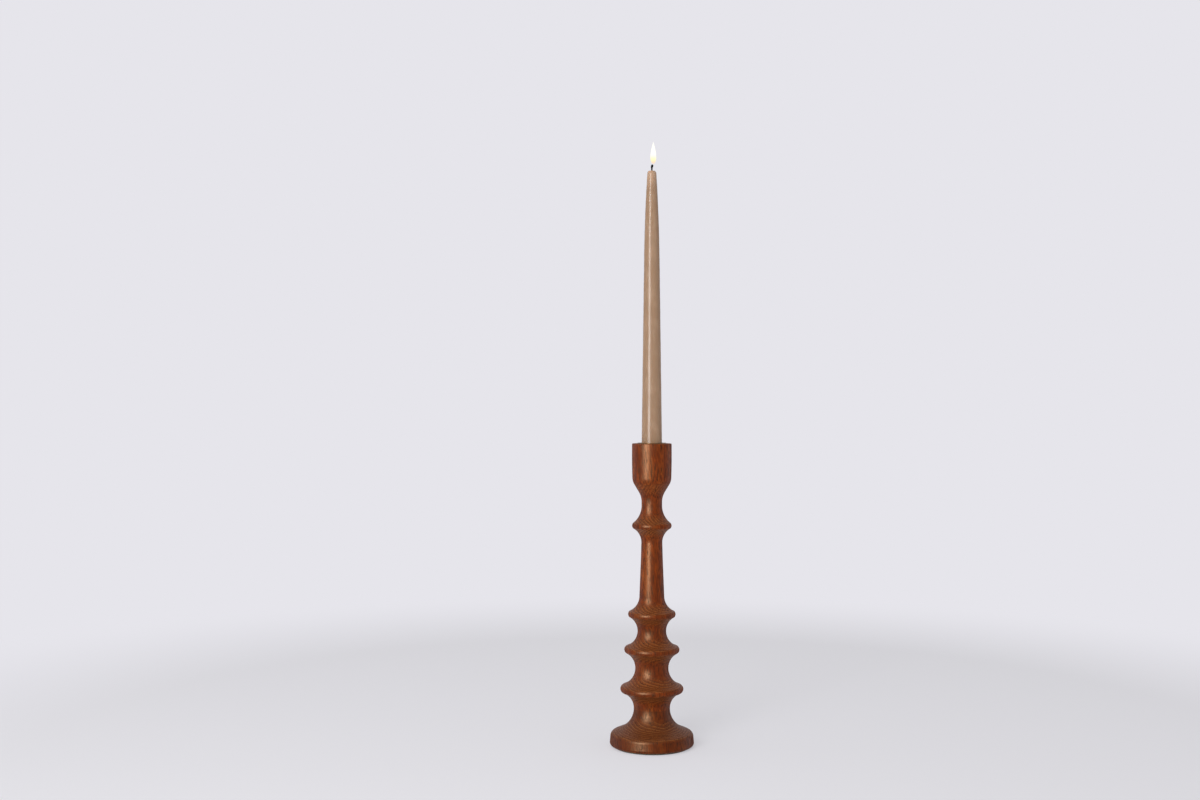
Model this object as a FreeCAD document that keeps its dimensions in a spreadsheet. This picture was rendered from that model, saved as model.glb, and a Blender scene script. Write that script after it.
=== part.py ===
# Turned wooden pricket candle stand with its lit taper candle, in millimetres.
# The origin is the middle of the felt under the foot, +Z is up, and every turned piece is
# round about Z. Each piece is drawn from its own lower end and then placed on what carries it.
import FreeCAD, Part

import math
import os
import re

import Sketcher

# Driving dimensions: every length in mm, every angle in degrees
SIZES = {
    # fits
    "glue_clearance": 0.05,
    "running_clearance": 0.35,
    "glue_room": 1.0,
    "overrun": 5.0,
    # felt pad
    "felt_thickness": 1.2,
    "felt_inset": 1.5,
    # foot
    "foot_height": 40.0,
    "foot_radius": 45.9,
    "foot_edge_round": 3.1,
    "foot_wall_draft": 0.65,
    "foot_shoulder_round": 5.4,
    "foot_top_slope": 22.7,
    "foot_cove_round": 23.65,
    "foot_neck_radius": 19.7,
    "foot_recess_radius": 32.5,
    "foot_recess_depth": 10.8,
    # ballast weight, screw and washer under the foot
    "ballast_thickness": 9.0,
    "ballast_gap": 0.5,
    "ballast_chamfer": 0.8,
    "washer_seat_depth": 5.0,
    "washer_seat_gap": 1.5,
    "washer_radius": 8.0,
    "washer_thickness": 1.2,
    "screw_radius": 2.5,
    "screw_head_radius": 4.8,
    "screw_head_height": 3.0,
    "screw_head_edge": 0.9,
    "screw_head_crown": 1.6,
    "screw_slot_width": 1.2,
    "screw_slot_depth": 1.4,
    "screw_length": 42.0,
    "screw_point_length": 5.0,
    "screw_point_radius": 0.4,
    "screw_hole_clearance": 0.3,
    # column: tenon, lower ring, middle ring and the coves round them
    "tenon_radius": 11.0,
    "tenon_length": 20.0,
    "tenon_chamfer": 1.0,
    "column_length": 99.8,
    "lower_ring_height": 21.2,
    "lower_ring_radius": 34.4,
    "lower_bead_round": 4.2,
    "lower_bead_rise": 3.7,
    "lower_bead_drop": 3.5,
    "lower_waist_height": 43.8,
    "lower_waist_radius": 18.13,
    "middle_ring_height": 64.0,
    "middle_ring_radius": 30.13,
    "middle_bead_round": 4.2,
    "middle_bead_rise": 3.4,
    "middle_bead_drop": 3.2,
    "upper_waist_height": 84.25,
    "upper_waist_radius": 15.59,
    # stem: upper ring, flare, long taper and the flare under the cup's ring
    "stem_length": 96.5,
    "upper_ring_radius": 25.89,
    "upper_bead_round": 4.4,
    "upper_bead_rise": 3.0,
    "upper_bead_drop": 2.8,
    "stem_foot_height": 22.6,
    "stem_foot_radius": 13.55,
    "stem_head_height": 63.0,
    "stem_head_radius": 11.96,
    "stem_neck_radius": 11.45,
    "stem_flare_rise": 15.4,
    # cup: top ring, neck, swelling and rim
    "cup_length": 92.5,
    "top_ring_radius": 21.55,
    "top_bead_round": 4.4,
    "top_bead_rise": 3.0,
    "top_bead_drop": 2.8,
    "neck_height": 24.6,
    "neck_length": 4.2,
    "neck_radius": 11.22,
    "neck_flare_round": 20.9,
    "cup_flare_angle": 31.0,
    "cup_shoulder_round": 15.2,
    "cup_shoulder_radius": 21.28,
    "cup_belly_height": 80.5,
    "rim_radius": 21.6,
    "rim_round": 0.8,
    # loose dowels of the two glued joints above the column
    "column_dowel_radius": 6.0,
    "column_dowel_length": 40.0,
    "stem_dowel_radius": 5.0,
    "stem_dowel_length": 36.0,
    "dowel_chamfer": 0.8,
    # brass liner of the socket
    "socket_depth": 25.0,
    "liner_wall": 0.6,
    "liner_flange_radius": 15.8,
    "liner_flange_thickness": 0.8,
    "liner_flange_edge": 0.3,
    "liner_corner_round": 1.5,
    # pricket pin
    "pin_height": 18.0,
    "pin_base_radius": 2.6,
    "pin_tip_radius": 0.35,
    "pin_collar_radius": 3.6,
    "pin_collar_height": 1.2,
    "pin_shank_radius": 2.0,
    "pin_shank_length": 18.0,
    "pin_shank_point": 3.0,
    # candle
    "candle_length": 322.5,
    "candle_foot_radius": 11.15,
    "candle_foot_length": 27.0,
    "candle_waist_height": 225.0,
    "candle_waist_radius": 8.52,
    "candle_curve_height": 205.0,
    "candle_shoulder_height": 319.2,
    "candle_shoulder_radius": 5.03,
    "candle_lip_radius": 3.6,
    "melt_pool_depth": 0.9,
    "melt_pool_floor_radius": 1.7,
    # wick
    "wick_radius": 0.85,
    "wick_start_height": 24.0,
    "wick_straight_length": 3.6,
    "wick_bend_radius": 4.5,
    "wick_bend_angle": 45.0,
    # flame
    "flame_gap": 0.3,
    "flame_height": 24.3,
    "flame_widest_height": 7.5,
    "flame_radius": 3.1,
    "flame_base_radius": 1.3,
    "flame_tip_radius": 0.15,
    "flame_offset": 1.6,
}

# Shape values with no size of their own
WHOLE_TURN = 360
TOLERANCE = 1e-6

doc = FreeCAD.newDocument("CandleStand")


def make_sheet():
    """The spreadsheet that every size of the model is bound to."""
    sizes = doc.addObject("Spreadsheet::Sheet", "Sizes")
    for row, (alias, value) in enumerate(SIZES.items(), 1):
        sizes.set(f"A{row}", alias)
        sizes.set(f"B{row}", str(value))
        sizes.setAlias(f"B{row}", alias)
    doc.recompute()
    return sizes


sheet = make_sheet()


def formula(text):
    """An expression that may name the sizes alone, such as "foot_height / 2", in full."""
    return re.sub(r"[a-z_]+", lambda word: f"Sizes.{word[0]}" if word[0] in SIZES else word[0], text)


def value_of(text):
    """The number that an expression gives now."""
    return float(sheet.evalExpression(formula(text)))


def make_body(label, height="0", across="0"):
    """An empty body for one piece, standing at a height on the stand's axis or beside it."""
    body = doc.addObject("PartDesign::Body", label)
    body.Label = label
    body.setExpression("Placement.Base.z", formula(height))
    body.setExpression("Placement.Base.x", formula(across))
    return body


def origin_plane(body, role):
    """One of the body's own origin planes."""
    return next(item for item in body.Origin.OriginFeatures if item.Role == role)


def make_sketch(body, name, role, height="0"):
    """A sketch on an origin plane of its body, moved along that plane's normal."""
    sketch = body.newObject("Sketcher::SketchObject", name)
    sketch.AttachmentSupport = [(origin_plane(body, role), "")]
    sketch.MapMode = "FlatFace"
    sketch.setExpression("AttachmentOffset.Base.z", formula(height))
    return sketch


def bind(sketch, kind, *places, text):
    """A sketch dimension bound to an expression."""
    index = sketch.addConstraint(Sketcher.Constraint(kind, *places, value_of(text)))
    sketch.setExpression(f"Constraints[{index}]", formula(text))


def locate(sketch, item, end, across, up):
    """Dimensions that hold a point of the sketch at its two coordinates, or at one of them."""
    for kind, axis, text in (("DistanceX", -2, across), ("DistanceY", -1, up)):
        if text == "0":
            sketch.addConstraint(Sketcher.Constraint("PointOnObject", item, end, axis))
        elif text:
            bind(sketch, kind, -1, 1, item, end, text=text)


def arc_between(first, last, level):
    """The arc between two points whose centre lies at a given level, the short way round.

    Its centre is where the perpendicular bisector of the chord crosses that level. The answer
    is the arc and whether it runs from first to last.
    """
    rise_first = first.y - level
    rise_last = last.y - level
    middle = (last.x**2 - first.x**2 + rise_last**2 - rise_first**2) / (2 * (last.x - first.x))
    centre = FreeCAD.Vector(middle, level, 0)
    start = first - centre
    finish = last - centre
    forward = start.x * finish.y - start.y * finish.x > 0
    if not forward:
        start, finish = finish, start
    angles = [math.atan2(arm.y, arm.x) for arm in (start, finish)]
    if angles[1] < angles[0]:
        angles[1] += 2 * math.pi
    circle = Part.Circle(centre, FreeCAD.Vector(0, 0, 1), start.Length)
    return Part.ArcOfCircle(circle, *angles), forward


def draw_outline(sketch, corners):
    """A closed outline through corners (across, up) or (across, up, level of an arc's centre).

    A corner with a third value is reached by an arc whose centre lies at that level, and any
    other corner by a straight line. Every corner is dimensioned from the sketch's origin.
    """
    points = [FreeCAD.Vector(value_of(corner[0]), value_of(corner[1]), 0) for corner in corners]
    sides = []
    for number, corner in enumerate(corners):
        before = points[number - 1]
        after = points[number]
        if len(corner) == 2:
            item = sketch.addGeometry(Part.LineSegment(before, after), False)
            forward = True
        else:
            arc, forward = arc_between(before, after, value_of(corner[2]))
            item = sketch.addGeometry(arc, False)
            locate(sketch, item, 3, None, corner[2])
        sides.append((item, (1, 2) if forward else (2, 1)))
    for number, (item, ends) in enumerate(sides):
        following, following_ends = sides[(number + 1) % len(sides)]
        link = Sketcher.Constraint("Coincident", item, ends[1], following, following_ends[0])
        sketch.addConstraint(link)
        locate(sketch, item, ends[1], corners[number][0], corners[number][1])


def check_cut(body, name, volume_before):
    """A cut has to take material away."""
    if body.Shape.Volume > volume_before - TOLERANCE:
        raise RuntimeError(f"{name} of {body.Label} cuts nothing")


def turn(body, name, corners, cut=False):
    """Half an outline turned about Z, added to the body or cut out of it."""
    volume_before = body.Shape.Volume if cut else None
    sketch = make_sketch(body, f"{name}Outline", "XZ_Plane")
    draw_outline(sketch, corners)
    turning = body.newObject("PartDesign::Groove" if cut else "PartDesign::Revolution", name)
    turning.Profile = sketch
    turning.ReferenceAxis = (sketch, ["V_Axis"])
    turning.Angle = WHOLE_TURN
    sketch.Visibility = False
    doc.recompute()
    if cut:
        check_cut(body, name, volume_before)


def draw_circle(sketch, radius):
    """A circle about the sketch's origin."""
    circle = Part.Circle(FreeCAD.Vector(), FreeCAD.Vector(0, 0, 1), value_of(radius))
    item = sketch.addGeometry(circle, False)
    sketch.addConstraint(Sketcher.Constraint("Coincident", item, 3, -1, 1))
    bind(sketch, "Radius", item, text=radius)


def draw_rectangle(sketch, length, width):
    """A rectangle about the sketch's origin, with its length across."""
    across = value_of(length) / 2
    up = value_of(width) / 2
    corners = [(-across, -up), (across, -up), (across, up), (-across, up)]
    points = [FreeCAD.Vector(*corner, 0) for corner in corners]
    sides = [sketch.addGeometry(Part.LineSegment(points[n - 1], points[n]), False) for n in range(4)]
    for number, side in enumerate(sides):
        sketch.addConstraint(Sketcher.Constraint("Coincident", side, 2, sides[(number + 1) % 4], 1))
        sketch.addConstraint(Sketcher.Constraint("Horizontal" if number % 2 else "Vertical", side))
    sketch.addConstraint(Sketcher.Constraint("Symmetric", sides[0], 2, sides[2], 2, -1, 1))
    bind(sketch, "DistanceX", sides[1], 1, sides[1], 2, text=length)
    bind(sketch, "DistanceY", sides[2], 1, sides[2], 2, text=width)


def pad_disc(body, name, radius, thickness, hole=None):
    """A disc, or a ring when a hole's radius is given, that rises from the body's origin."""
    sketch = make_sketch(body, f"{name}Circle", "XY_Plane")
    draw_circle(sketch, radius)
    if hole:
        draw_circle(sketch, hole)
    disc = body.newObject("PartDesign::Pad", name)
    disc.Profile = sketch
    disc.setExpression("Length", formula(thickness))
    sketch.Visibility = False
    doc.recompute()


def cut_from(body, name, sketch, depth, upwards):
    """A pocket of a given depth, cut upwards or downwards."""
    volume_before = body.Shape.Volume
    pocket = body.newObject("PartDesign::Pocket", name)
    pocket.Profile = sketch
    pocket.Reversed = upwards
    pocket.setExpression("Length", formula(depth))
    sketch.Visibility = False
    doc.recompute()
    check_cut(body, name, volume_before)


def bore(body, name, radius, depth, height="0", upwards=True):
    """A round hole on the axis, from a height and as deep as given, up or down."""
    sketch = make_sketch(body, f"{name}Circle", "XY_Plane", height)
    draw_circle(sketch, radius)
    cut_from(body, name, sketch, depth, upwards)


def chamfer_ends(body, name, size, heights):
    """A chamfer round the outer circular edges of the body that lie at the given heights."""
    base = body.Tip
    edges = []
    for height in heights:
        level = value_of(height)
        rings = []
        for number, edge in enumerate(base.Shape.Edges, 1):
            round_edge = isinstance(edge.Curve, Part.Circle)
            if round_edge and abs(edge.Curve.Center.z - level) < TOLERANCE:
                rings.append((edge.Curve.Radius, f"Edge{number}"))
        edges.append(max(rings)[1])
    chamfer = body.newObject("PartDesign::Chamfer", name)
    chamfer.Base = (base, edges)
    chamfer.setExpression("Size", formula(size))
    doc.recompute()


def bead_edge(ring, reach):
    """How far out a ring's bead is where it ends, a rise or a drop away from its middle."""
    bead = ring.replace("ring", "bead")
    return f"{ring}_radius - {bead}_round + sqrt({bead}_round^2 - {reach}^2)"


# Heights on the stand: where each piece starts
FOOT_BASE = "felt_thickness"
COLUMN_BASE = f"{FOOT_BASE} + foot_height - tenon_length"
STEM_BASE = f"{FOOT_BASE} + foot_height + column_length"
CUP_BASE = f"{STEM_BASE} + stem_length"
RIM_LEVEL = f"{CUP_BASE} + cup_length"
SOCKET_FLOOR = f"{RIM_LEVEL} - socket_depth"
WAX_TOP = f"{SOCKET_FLOOR} + max(candle_length; candle_shoulder_height)"
BALLAST_BASE = f"{FOOT_BASE} + foot_recess_depth - ballast_thickness"
WASHER_BASE = f"{BALLAST_BASE} + washer_seat_depth - washer_thickness"

# Radii and depths that two pieces share
LINER_BORE = "candle_foot_radius + running_clearance"
LINER_OUTSIDE = f"{LINER_BORE} + liner_wall"
COLUMN_DOWEL_BORE = "column_dowel_radius + glue_clearance"
COLUMN_DOWEL_DEPTH = "column_dowel_length / 2 + glue_room"
STEM_DOWEL_BORE = "stem_dowel_radius + glue_clearance"
STEM_DOWEL_DEPTH = "stem_dowel_length / 2 + glue_room"


def make_felt_pad():
    """Felt glued under the foot, a little smaller than the flat it covers."""
    body = make_body("felt_pad")
    pad_disc(body, "Felt", "foot_radius - foot_edge_round - felt_inset", "felt_thickness")
    return body


def make_foot():
    """Turned base: flat underside, short wall, sloping top and a cove up to its neck."""
    body = make_body("foot", FOOT_BASE)
    wall_top = "foot_radius - foot_wall_draft"
    cove_end = "foot_neck_radius + foot_cove_round * (1 - sin(foot_top_slope))"
    cove_end_height = "foot_height - foot_cove_round * cos(foot_top_slope)"
    slope_end = f"{wall_top} - foot_shoulder_round * (1 - sin(foot_top_slope))"
    slope_fall = f"({slope_end} - ({cove_end})) * tan(foot_top_slope)"
    slope_end_height = f"{cove_end_height} - {slope_fall}"
    shoulder_height = f"{slope_end_height} - foot_shoulder_round * cos(foot_top_slope)"
    turn(body, "Turning", [
        ("0", "0"),
        ("foot_radius - foot_edge_round", "0"),
        ("foot_radius", "foot_edge_round", "foot_edge_round"),
        (wall_top, shoulder_height),
        (slope_end, slope_end_height, shoulder_height),
        (cove_end, cove_end_height),
        ("foot_neck_radius", "foot_height", "foot_height"),
        ("0", "foot_height"),
    ])
    bore(body, "BallastRecess", "foot_recess_radius", "foot_recess_depth")
    mortise_depth = "tenon_length + glue_room"
    bore(body, "Mortise", "tenon_radius + glue_clearance", mortise_depth, "foot_height", False)
    bore(body, "ScrewHole", "screw_radius + screw_hole_clearance", "foot_height")
    return body


def make_ballast_weight():
    """Steel disc in the recess under the foot, with a seat for the washer."""
    body = make_body("ballast_weight", BALLAST_BASE)
    pad_disc(body, "Disc", "foot_recess_radius - ballast_gap", "ballast_thickness")
    bore(body, "WasherSeat", "washer_radius + washer_seat_gap", "washer_seat_depth")
    bore(body, "ScrewHole", "screw_radius + screw_hole_clearance", "ballast_thickness")
    chamfer_ends(body, "RimChamfer", "ballast_chamfer", ["0", "ballast_thickness"])
    return body


def make_screw_washer():
    """Flat washer between the screw's head and the ballast weight."""
    body = make_body("screw_washer", WASHER_BASE)
    pad_disc(body, "Ring", "washer_radius", "washer_thickness", "screw_radius + screw_hole_clearance")
    return body


def make_foot_screw():
    """Slotted wood screw, head down, that pulls the column's tenon into the foot."""
    body = make_body("foot_screw", f"{WASHER_BASE} - screw_head_height")
    total = "screw_head_height + screw_length"
    turn(body, "Turning", [
        ("0", "0"),
        ("screw_head_radius - screw_head_crown", "0"),
        ("screw_head_radius", "screw_head_height - screw_head_edge"),
        ("screw_head_radius", "screw_head_height"),
        ("screw_radius", "screw_head_height"),
        ("screw_radius", f"{total} - screw_point_length"),
        ("screw_point_radius", total),
        ("0", total),
    ])
    slot = make_sketch(body, "SlotOutline", "XY_Plane")
    draw_rectangle(slot, "2 * screw_head_radius + overrun", "screw_slot_width")
    cut_from(body, "Slot", slot, "screw_slot_depth", True)
    return body


def make_column():
    """Turned section with two rings and a tenon that goes down into the foot."""
    body = make_body("column", COLUMN_BASE)
    shoulder = "tenon_length"
    lower = f"{shoulder} + lower_ring_height"
    lower_waist = f"{shoulder} + lower_waist_height"
    middle = f"{shoulder} + middle_ring_height"
    upper_waist = f"{shoulder} + upper_waist_height"
    top = f"{shoulder} + column_length"
    turn(body, "Turning", [
        ("0", "0"),
        ("tenon_radius - tenon_chamfer", "0"),
        ("tenon_radius", "tenon_chamfer"),
        ("tenon_radius", shoulder),
        ("foot_neck_radius", shoulder),
        (bead_edge("lower_ring", "lower_bead_drop"), f"{lower} - lower_bead_drop", shoulder),
        (bead_edge("lower_ring", "lower_bead_rise"), f"{lower} + lower_bead_rise", lower),
        ("lower_waist_radius", lower_waist, lower_waist),
        (bead_edge("middle_ring", "middle_bead_drop"), f"{middle} - middle_bead_drop", lower_waist),
        (bead_edge("middle_ring", "middle_bead_rise"), f"{middle} + middle_bead_rise", middle),
        ("upper_waist_radius", upper_waist, upper_waist),
        (bead_edge("upper_ring", "upper_bead_drop"), top, upper_waist),
        ("0", top),
    ])
    bore(body, "DowelHole", COLUMN_DOWEL_BORE, COLUMN_DOWEL_DEPTH, top, False)
    screw_reach = f"{WASHER_BASE} + screw_length - ({COLUMN_BASE}) + glue_room"
    bore(body, "ScrewHole", "screw_radius + glue_clearance", screw_reach)
    return body


def make_stem():
    """Turned section with the upper ring at its foot and a long taper above it."""
    body = make_body("stem", STEM_BASE)
    bead_top = "upper_bead_drop + upper_bead_rise"
    neck = "stem_length - stem_flare_rise"
    turn(body, "Turning", [
        ("0", "0"),
        (bead_edge("upper_ring", "upper_bead_drop"), "0"),
        (bead_edge("upper_ring", "upper_bead_rise"), bead_top, "upper_bead_drop"),
        ("stem_foot_radius", "stem_foot_height", "stem_foot_height"),
        ("stem_head_radius", "stem_head_height"),
        ("stem_neck_radius", neck),
        (bead_edge("top_ring", "top_bead_drop"), "stem_length", neck),
        ("0", "stem_length"),
    ])
    bore(body, "LowerDowelHole", COLUMN_DOWEL_BORE, COLUMN_DOWEL_DEPTH)
    bore(body, "UpperDowelHole", STEM_DOWEL_BORE, STEM_DOWEL_DEPTH, "stem_length", False)
    return body


def make_candle_cup():
    """Turned cup: top ring, neck, S-shaped swelling and an upright wall bored for the liner."""
    body = make_body("candle_cup", CUP_BASE)
    flare = "(1 - cos(cup_flare_angle))"
    neck_top = "neck_height + neck_length"
    flare_end = f"neck_radius + neck_flare_round * {flare}"
    flare_end_height = f"{neck_top} + neck_flare_round * sin(cup_flare_angle)"
    swell_start = f"cup_shoulder_radius - cup_shoulder_round * {flare}"
    swell_rise = f"({swell_start} - ({flare_end})) / tan(cup_flare_angle)"
    swell_start_height = f"{flare_end_height} + {swell_rise}"
    shoulder_height = f"{swell_start_height} + cup_shoulder_round * sin(cup_flare_angle)"
    turn(body, "Turning", [
        ("0", "0"),
        (bead_edge("top_ring", "top_bead_drop"), "0"),
        (bead_edge("top_ring", "top_bead_rise"), "top_bead_drop + top_bead_rise", "top_bead_drop"),
        ("neck_radius", "neck_height", "neck_height"),
        ("neck_radius", neck_top),
        (flare_end, flare_end_height, neck_top),
        (swell_start, swell_start_height),
        ("cup_shoulder_radius", shoulder_height, shoulder_height),
        ("rim_radius", "cup_length - rim_round", "cup_belly_height"),
        ("rim_radius - rim_round", "cup_length", "cup_length - rim_round"),
        ("0", "cup_length"),
    ])
    socket_bore = f"{LINER_OUTSIDE} + glue_clearance"
    pin_hole_depth = "socket_depth + pin_shank_length + glue_room"
    bore(body, "DowelHole", STEM_DOWEL_BORE, STEM_DOWEL_DEPTH)
    bore(body, "Socket", socket_bore, "socket_depth + liner_wall", "cup_length", False)
    bore(body, "PinHole", "pin_shank_radius + glue_clearance", pin_hole_depth, "cup_length", False)
    return body


def make_dowel(label, radius, length, joint_level):
    """Birch dowel, half of it in the piece below the joint and half in the piece above."""
    body = make_body(label, f"{joint_level} - {length} / 2")
    turn(body, "Turning", [
        ("0", "0"),
        (f"{radius} - dowel_chamfer", "0"),
        (radius, "dowel_chamfer"),
        (radius, f"{length} - dowel_chamfer"),
        (f"{radius} - dowel_chamfer", length),
        ("0", length),
    ])
    return body


def make_socket_liner():
    """Spun brass cup with a flange that lies on the wooden rim and a hole for the pin."""
    body = make_body("socket_liner", f"{SOCKET_FLOOR} - liner_wall")
    rim = "socket_depth + liner_wall"
    inner_round = "liner_corner_round - liner_wall"
    turn(body, "Spinning", [
        ("pin_shank_radius + glue_clearance", "0"),
        (f"{LINER_OUTSIDE} - liner_corner_round", "0"),
        (LINER_OUTSIDE, "liner_corner_round", "liner_corner_round"),
        (LINER_OUTSIDE, rim),
        ("liner_flange_radius - liner_flange_edge", rim),
        ("liner_flange_radius", f"{rim} + liner_flange_edge", f"{rim} + liner_flange_edge"),
        ("liner_flange_radius - liner_flange_thickness + liner_flange_edge",
         f"{rim} + liner_flange_thickness", f"{rim} + liner_flange_edge"),
        (f"{LINER_BORE} + liner_flange_edge", f"{rim} + liner_flange_thickness"),
        (LINER_BORE, f"{rim} + liner_flange_thickness - liner_flange_edge",
         f"{rim} + liner_flange_thickness - liner_flange_edge"),
        (LINER_BORE, f"liner_wall + {inner_round}"),
        (f"{LINER_BORE} - ({inner_round})", "liner_wall", f"liner_wall + {inner_round}"),
        ("pin_shank_radius + glue_clearance", "liner_wall"),
    ])
    return body


def make_pricket_pin():
    """Steel pin screwed through the liner's floor: shank, collar and the spike itself."""
    body = make_body("pricket_pin", f"{SOCKET_FLOOR} - pin_shank_length")
    floor = "pin_shank_length"
    turn(body, "Turning", [
        ("0", "0"),
        ("pin_tip_radius", "0"),
        ("pin_shank_radius", "pin_shank_point"),
        ("pin_shank_radius", floor),
        ("pin_collar_radius", floor),
        ("pin_collar_radius", f"{floor} + pin_collar_height"),
        ("pin_base_radius", f"{floor} + pin_collar_height"),
        ("pin_tip_radius", f"{floor} + pin_height"),
        ("0", f"{floor} + pin_height"),
    ])
    return body


def make_candle_body():
    """Cast wax taper with a straight foot, the hole the pin made in it and the wick's bore."""
    body = make_body("candle_body", SOCKET_FLOOR)
    top = "candle_length"
    turn(body, "Casting", [
        ("0", "0"),
        ("candle_foot_radius - liner_corner_round", "0"),
        ("candle_foot_radius", "liner_corner_round"),
        ("candle_foot_radius", "candle_foot_length"),
        ("candle_waist_radius", "candle_waist_height"),
        ("candle_shoulder_radius", "candle_shoulder_height", "candle_curve_height"),
        ("candle_lip_radius", top, "candle_shoulder_height"),
        ("melt_pool_floor_radius", f"{top} - melt_pool_depth"),
        ("0", f"{top} - melt_pool_depth"),
    ])
    turn(body, "PinHole", [
        ("0", "0"),
        ("pin_collar_radius + running_clearance", "0"),
        ("pin_collar_radius + running_clearance", "pin_collar_height + running_clearance"),
        ("pin_base_radius + running_clearance", "pin_collar_height + running_clearance"),
        ("pin_tip_radius + running_clearance", "pin_height + running_clearance"),
        ("0", "pin_height + running_clearance"),
    ], cut=True)
    bore(body, "WickBore", "wick_radius + glue_clearance", "candle_length", "wick_start_height")
    return body


def make_candle_wick():
    """Cotton wick: straight through the wax, then bent over to the right where it has burnt."""
    start = f"{SOCKET_FLOOR} + wick_start_height"
    body = make_body("candle_wick", start)
    straight = f"{WAX_TOP} + wick_straight_length - ({start})"
    section = make_sketch(body, "WickSection", "XY_Plane")
    draw_circle(section, "wick_radius")
    path = make_sketch(body, "WickPath", "XZ_Plane")
    rise = value_of(straight)
    bend = value_of("wick_bend_radius")
    sweep = math.radians(value_of("wick_bend_angle"))
    line = path.addGeometry(Part.LineSegment(FreeCAD.Vector(), FreeCAD.Vector(0, rise, 0)), False)
    circle = Part.Circle(FreeCAD.Vector(bend, rise, 0), FreeCAD.Vector(0, 0, 1), bend)
    arc = path.addGeometry(Part.ArcOfCircle(circle, math.pi - sweep, math.pi), False)
    path.addConstraint(Sketcher.Constraint("Coincident", line, 1, -1, 1))
    path.addConstraint(Sketcher.Constraint("Vertical", line))
    bind(path, "DistanceY", line, 1, line, 2, text=straight)
    path.addConstraint(Sketcher.Constraint("Tangent", line, 2, arc, 2))
    bind(path, "Radius", arc, text="wick_bend_radius")
    bind(path, "DistanceY", arc, 2, arc, 1, text="wick_bend_radius * sin(wick_bend_angle)")
    pipe = body.newObject("PartDesign::AdditivePipe", "Wick")
    pipe.Profile = section
    pipe.Spine = (path, ["Edge1", "Edge2"])
    section.Visibility = False
    path.Visibility = False
    doc.recompute()
    return body


def make_candle_flame():
    """The flame: a pointed drop of light just above the wick's tip."""
    tip_rise = "(wick_bend_radius + wick_radius) * sin(wick_bend_angle)"
    start = f"{WAX_TOP} + wick_straight_length + {tip_rise} + flame_gap"
    body = make_body("candle_flame", start, "flame_offset")
    turn(body, "Drop", [
        ("0", "0"),
        ("flame_base_radius", "0"),
        ("flame_radius", "flame_widest_height", "flame_widest_height"),
        ("flame_tip_radius", "flame_height", "flame_widest_height"),
        ("0", "flame_height"),
    ])
    return body


def make_pieces():
    """Every piece of the stand and its candle, from the table up."""
    return [
        make_felt_pad(),
        make_foot(),
        make_ballast_weight(),
        make_screw_washer(),
        make_foot_screw(),
        make_column(),
        make_dowel("column_dowel", "column_dowel_radius", "column_dowel_length", STEM_BASE),
        make_stem(),
        make_dowel("stem_dowel", "stem_dowel_radius", "stem_dowel_length", CUP_BASE),
        make_candle_cup(),
        make_socket_liner(),
        make_pricket_pin(),
        make_candle_body(),
        make_candle_wick(),
        make_candle_flame(),
    ]


def check(pieces):
    """Every object has to be computed, and every piece one valid solid, before anything is written."""
    doc.recompute()
    for item in doc.Objects:
        if "Invalid" in item.State or "Error" in item.State:
            raise RuntimeError(f"{item.Label} failed: {item.State}")
    for piece in pieces:
        shape = piece.Shape
        if shape.isNull() or not shape.isValid() or len(shape.Solids) != 1:
            raise RuntimeError(f"{piece.Label} isn't one valid solid")


def write(pieces):
    """One STEP file for each piece, named after it."""
    os.makedirs("parts", exist_ok=True)
    for piece in pieces:
        piece.Shape.exportStep(f"parts/{piece.Label}.step")
        box = piece.Shape.optimalBoundingBox(False)
        size = f"{box.XLength:.1f} x {box.YLength:.1f} x {box.ZLength:.1f}"
        print(f"{piece.Label}: {size} mm, from {box.ZMin:.2f} to {box.ZMax:.2f} mm high")


pieces = make_pieces()
check(pieces)
write(pieces)
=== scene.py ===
"""Looks of a turned wooden pricket candle stand with a lit taper candle.

The solid model is the fixed frame. The wooden sections, the candle, its wick and its flame are
made anew as fine surfaces in the places that the frame gives, and the small parts of the frame
keep their shapes and get their finishes. All places are in metres, with +Z up.
"""

import math
from functools import partial

import bpy
import numpy as np
from bpy.props import FloatProperty, FloatVectorProperty, PointerProperty
from bpy.types import Operator, Panel, PropertyGroup
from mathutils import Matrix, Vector


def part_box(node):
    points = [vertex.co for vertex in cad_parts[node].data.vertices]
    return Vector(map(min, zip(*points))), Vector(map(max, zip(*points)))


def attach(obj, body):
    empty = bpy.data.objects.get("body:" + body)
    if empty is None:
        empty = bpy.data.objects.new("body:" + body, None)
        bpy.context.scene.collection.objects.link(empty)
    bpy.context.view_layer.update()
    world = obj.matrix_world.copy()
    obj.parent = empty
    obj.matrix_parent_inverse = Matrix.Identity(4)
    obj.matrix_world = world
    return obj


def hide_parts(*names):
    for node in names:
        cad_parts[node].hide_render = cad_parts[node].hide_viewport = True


bl_info = {
    "name": "Pricket Candle Stand",
    "version": (1, 0, 0),
    "blender": (4, 5, 0),
    "location": "3D Viewport > Sidebar > Candle Stand",
    "description": "Looks of a turned candle stand and its candle, round their solid model",
    "category": "Add Mesh",
}

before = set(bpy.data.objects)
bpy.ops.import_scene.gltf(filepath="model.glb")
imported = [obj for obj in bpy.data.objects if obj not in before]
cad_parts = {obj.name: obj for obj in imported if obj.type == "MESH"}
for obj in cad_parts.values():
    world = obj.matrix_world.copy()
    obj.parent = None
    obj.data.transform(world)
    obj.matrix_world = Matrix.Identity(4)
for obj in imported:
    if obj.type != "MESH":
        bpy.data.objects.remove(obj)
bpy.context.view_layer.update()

MM = 0.001

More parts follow.
